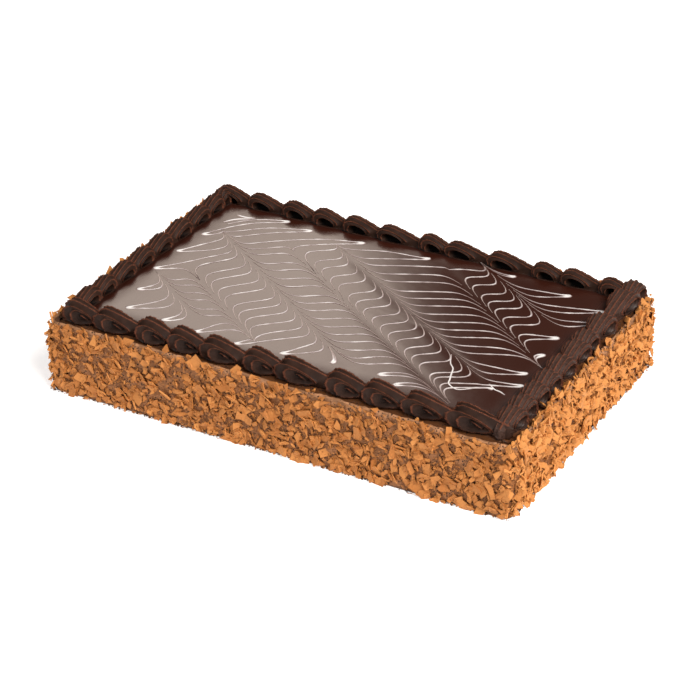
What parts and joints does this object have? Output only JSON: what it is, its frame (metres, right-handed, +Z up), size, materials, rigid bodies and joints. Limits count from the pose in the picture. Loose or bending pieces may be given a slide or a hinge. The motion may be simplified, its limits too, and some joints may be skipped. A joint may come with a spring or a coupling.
{
  "type": "opera cake",
  "caption": "Rectangular chocolate opera cake: flaked buttercream sides, dark mirror glaze with a feathered white pattern and a piped ganache shell border.",
  "frame": {"origin": "middle of the flat bottom face", "axes": "+X along the long side, +Y from the front long side to the back one, +Z up from the surface the cake stands on"},
  "size_m": [0.3123, 0.2061, 0.06],
  "materials": {
    "buttercream": "crumbly milk-chocolate flakes on light chocolate buttercream",
    "glaze": "mirror-smooth dark chocolate glaze",
    "ganache": "satin dark ganache with copper-brown ridge crests"
  },
  "bodies": {
    "root": {"cake_block": "buttercream", "glaze_top": "glaze", "shell_front_01": "ganache", "shell_front_02": "ganache", "shell_front_03": "ganache", "shell_front_04": "ganache", "shell_front_05": "ganache", "shell_front_06": "ganache", "shell_front_07": "ganache", "shell_front_08": "ganache", "shell_front_09": "ganache", "shell_front_10": "ganache", "shell_front_11": "ganache", "shell_back_01": "ganache", "shell_back_02": "ganache", "shell_back_03": "ganache", "shell_back_04": "ganache", "shell_back_05": "ganache", "shell_back_06": "ganache", "shell_back_07": "ganache", "shell_back_08": "ganache", "shell_back_09": "ganache", "shell_back_10": "ganache", "shell_back_11": "ganache", "shell_back_12": "ganache", "shell_left_01": "ganache", "shell_left_02": "ganache", "shell_left_03": "ganache", "shell_left_04": "ganache", "shell_left_05": "ganache", "shell_left_06": "ganache", "shell_left_07": "ganache", "shell_left_08": "ganache", "shell_left_09": "ganache", "shell_right_01": "ganache", "shell_right_02": "ganache", "shell_right_03": "ganache", "shell_right_04": "ganache", "shell_right_05": "ganache", "shell_right_06": "ganache", "shell_right_07": "ganache", "shell_right_08": "ganache", "shell_right_09": "ganache", "shell_right_10": "ganache"}
  },
  "joints": []
}
